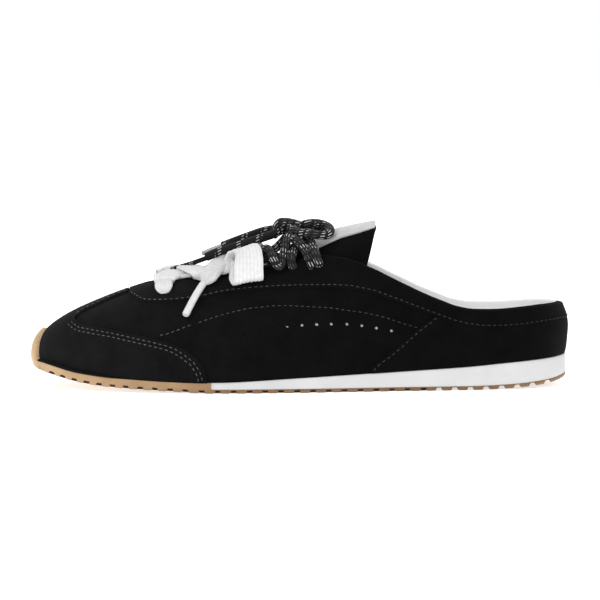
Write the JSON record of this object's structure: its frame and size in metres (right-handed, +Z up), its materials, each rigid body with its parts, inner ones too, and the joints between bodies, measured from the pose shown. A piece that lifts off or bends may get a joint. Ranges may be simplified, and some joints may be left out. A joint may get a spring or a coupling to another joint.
{
  "type": "sneaker mule",
  "caption": "Low backless sneaker, left foot, with a black suede upper, gum outsole, white midsole wedge and two laces",
  "frame": {"origin": "on the floor, under the middle of the shoe's length and width", "axes": "+X towards the heel, -X towards the toe, -Y towards the outer side of the foot, +Z up"},
  "size_m": [0.2677, 0.0922, 0.0829],
  "materials": {
    "overlay": "black suede with grey stitching",
    "lining": "matt off-white lining fabric",
    "foam": "matt white foam",
    "gum": "satin tan gum rubber, darker towards the heel",
    "rope_lace": "black round lace with white flecks",
    "suede": "black suede outside, white lining inside",
    "facing": "smooth white leather",
    "white_lace": "white woven flat lace"
  },
  "bodies": {
    "root": {"eyestay": "overlay", "heel_counter": "overlay", "insole": "lining", "midsole": "foam", "outsole": "gum", "rope_end_far": "rope_lace", "rope_end_near": "rope_lace", "rope_lace_bars": "rope_lace", "rope_lace_knot": "rope_lace", "rope_loop_near": "rope_lace", "rope_loop_rear": "rope_lace", "toe_guard": "overlay", "tongue": "suede", "tongue_facing": "facing", "upper": "suede", "white_end_far": "white_lace", "white_end_near": "white_lace", "white_lace_bars": "white_lace", "white_lace_knot": "white_lace", "white_loop_far": "white_lace", "white_loop_near": "white_lace"}
  },
  "joints": []
}
